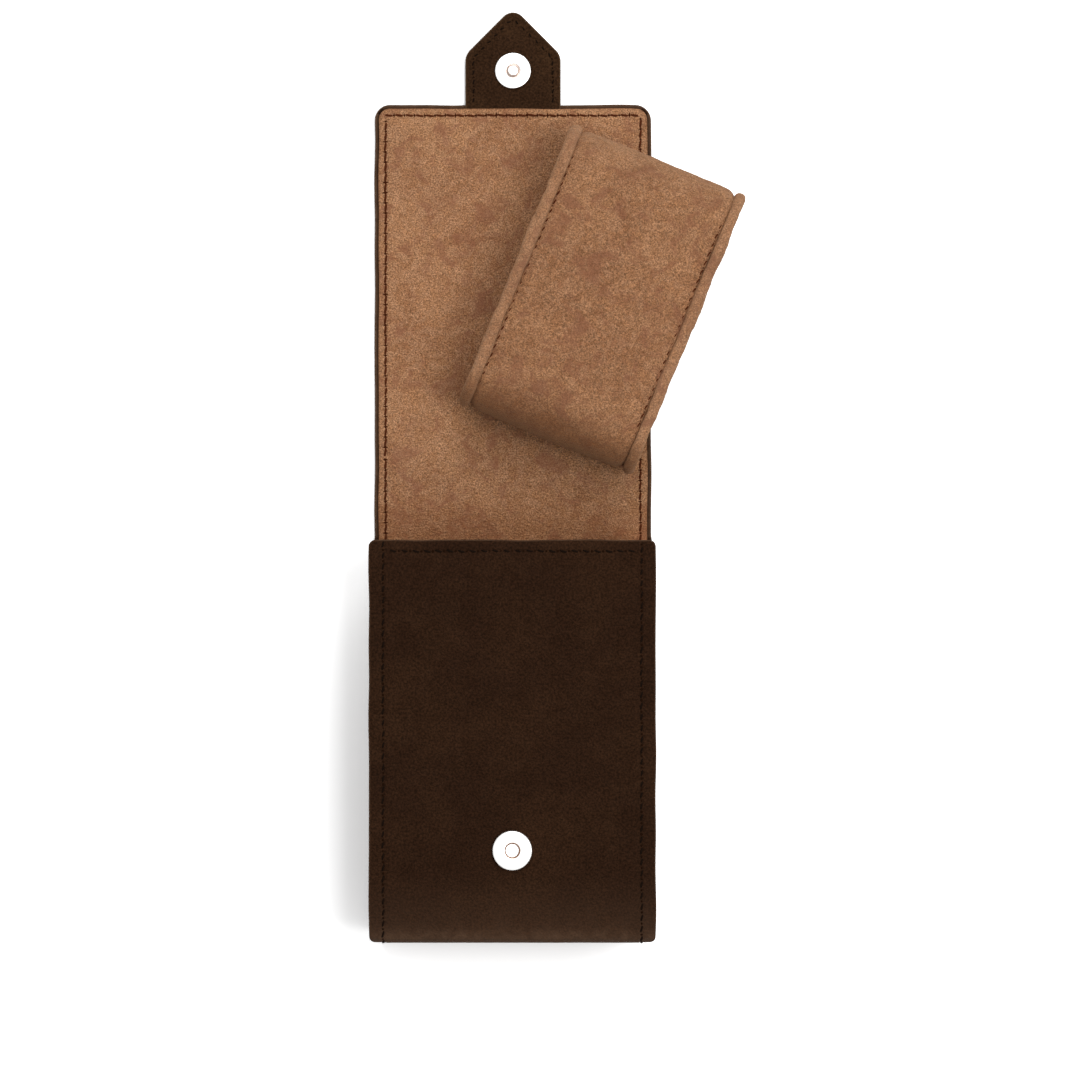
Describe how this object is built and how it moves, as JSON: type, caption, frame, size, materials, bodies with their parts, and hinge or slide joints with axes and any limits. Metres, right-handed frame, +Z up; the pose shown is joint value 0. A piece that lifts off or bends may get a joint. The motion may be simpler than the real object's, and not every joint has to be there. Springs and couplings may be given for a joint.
{
  "type": "watch travel case",
  "caption": "Leather watch travel case: a box-gusset pouch with an open folding lid, a magnetic snap tab and a removable suede watch cushion lying on the lid's lining.",
  "frame": {"origin": "on the table, in the middle of the line where the lid meets the pouch's mouth", "axes": "+X to the right, +Y from the pouch towards the open lid, +Z up from the table"},
  "size_m": [0.1012, 0.2511, 0.0482],
  "materials": {
    "case_leather": "dark brown leather with a soft waxed face, fine grain and burnished edges",
    "suede": "tan brushed suede with a short nap",
    "board": "plain grey-brown stiffening board, hidden between the layers",
    "snap_metal": "bright nickel-plated sheet metal",
    "magnet": "dark grey sintered magnet, hidden in the socket",
    "foam": "off-white open foam, hidden in the cushion"
  },
  "bodies": {
    "pouch": {"outer_wrap": "case_leather", "back_board": "board", "bottom_board": "board", "front_board": "board", "pouch_lining": "suede", "left_gusset": "case_leather", "right_gusset": "case_leather", "left_gusset_lining": "suede", "right_gusset_lining": "suede", "socket_cap": "snap_metal", "socket_magnet": "magnet", "socket_base": "snap_metal", "socket_washer": "snap_metal"},
    "lid_top": {"top_leather": "case_leather", "top_board": "board", "top_lining": "suede"},
    "lid_flap": {"flap_leather": "case_leather", "flap_board": "board", "flap_lining": "suede", "tab_face": "case_leather", "tab_back": "case_leather", "stud_plate": "snap_metal", "stud_washer": "snap_metal"},
    "cushion": {"cushion_core": "foam", "cushion_cover": "suede", "cushion_left_rim": "suede", "cushion_right_rim": "suede"}
  },
  "joints": [
    {"name": "lid_hinge", "type": "hinge", "parent": "pouch", "child": "lid_top", "pos_m": [0, 0, 0.003], "axis": [1, 0, 0], "range_deg": [0, 90]},
    {"name": "lid_fold", "type": "hinge", "parent": "lid_top", "child": "lid_flap", "pos_m": [0, 0.0453, 0.003], "axis": [1, 0, 0], "range_deg": [0, 90]},
    {"name": "cushion_swing", "type": "hinge", "parent": "pouch", "child": "cushion", "pos_m": [0.135, 0.0646, 0.01615], "axis": [0, 1, 0], "range_deg": [0, 180]}
  ],
  "couplings": [
    {"joint": "lid_fold", "follows": "lid_hinge", "ratio": 1},
    {"joint": "cushion_swing", "follows": "lid_hinge", "ratio": 2}
  ]
}
